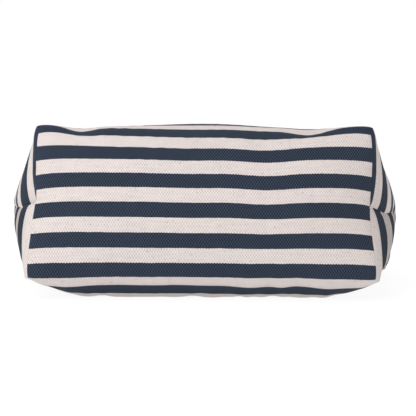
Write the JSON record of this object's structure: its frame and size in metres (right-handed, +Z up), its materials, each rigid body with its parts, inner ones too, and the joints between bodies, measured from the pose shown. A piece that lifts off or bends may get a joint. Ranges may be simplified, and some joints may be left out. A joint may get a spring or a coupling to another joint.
{
  "type": "mail sack",
  "caption": "Striped canvas mail sack with a flat boxed base, zip-closed mouth, card holder, hem eyelets and web handles, lying on one panel.",
  "frame": {"origin": "bottom centre of the bounding box: on the surface the sack lies on, under the middle of the whole length", "axes": "+X along the base, +Y from the base to the mouth and the handles, +Z up from the lower panel"},
  "size_m": [0.384, 0.441, 0.1494],
  "materials": {
    "striped_canvas": "plain-weave cotton canvas, navy and natural stripes of equal width",
    "base_canvas": "natural cotton canvas, one more layer",
    "binding_tape": "natural cotton seam binding",
    "hem_facing": "natural cotton twill facing",
    "zip_tape": "navy woven zip tape",
    "zip_metal": "satin antique brass",
    "end_tab_cloth": "navy cotton end tabs",
    "slider_metal": "satin antique brass",
    "webbing": "navy cotton webbing",
    "eyelet_brass": "satin brass",
    "holder_brass": "satin brass",
    "window_film": "clear film",
    "card": "blank buff card"
  },
  "bodies": {
    "sack": {"sack_body": "striped_canvas", "base_lining": "base_canvas", "left_corner_binding": "binding_tape", "right_corner_binding": "binding_tape", "left_side_binding": "binding_tape", "right_side_binding": "binding_tape", "upper_hem_facing": "hem_facing", "lower_hem_facing": "hem_facing", "upper_zip_tape": "zip_tape", "lower_zip_tape": "zip_tape", "upper_zip_teeth": "zip_metal", "lower_zip_teeth": "zip_metal", "zip_stops": "zip_metal", "zip_end_tabs": "end_tab_cloth", "upper_handle_ends": "webbing", "lower_handle_ends": "webbing", "upper_hem_eyelets": "eyelet_brass", "lower_hem_eyelets": "eyelet_brass", "card_holder_frame": "holder_brass", "card_window": "window_film"},
    "slider": {"zip_slider": "slider_metal"},
    "pull": {"zip_pull": "slider_metal"},
    "upper_handle": {"upper_handle": "webbing"},
    "lower_handle": {"lower_handle": "webbing"},
    "card": {"address_card": "card"}
  },
  "joints": [
    {"name": "zip_slide", "type": "slide", "parent": "sack", "child": "slider", "axis": [-1, 0, 0], "range_m": [0, 0.285], "deforming": ["upper_zip_teeth", "lower_zip_teeth"]},
    {"name": "pull_swing", "type": "hinge", "parent": "slider", "child": "pull", "pos_m": [0.1455, 0.0869, 0.0125], "axis": [0, 0, -1], "range_deg": [0, 180]},
    {"name": "upper_handle_swing", "type": "hinge", "parent": "sack", "child": "upper_handle", "pos_m": [0, 0.0845, 0.025], "axis": [1, 0, 0], "range_deg": [0, 150]},
    {"name": "lower_handle_swing", "type": "hinge", "parent": "sack", "child": "lower_handle", "pos_m": [0, 0.0845, 0], "axis": [1, 0, 0], "range_deg": [-150, 0]},
    {"name": "card_slide", "type": "slide", "parent": "sack", "child": "card", "axis": [0, 1, 0], "range_m": [0, 0.03]}
  ]
}
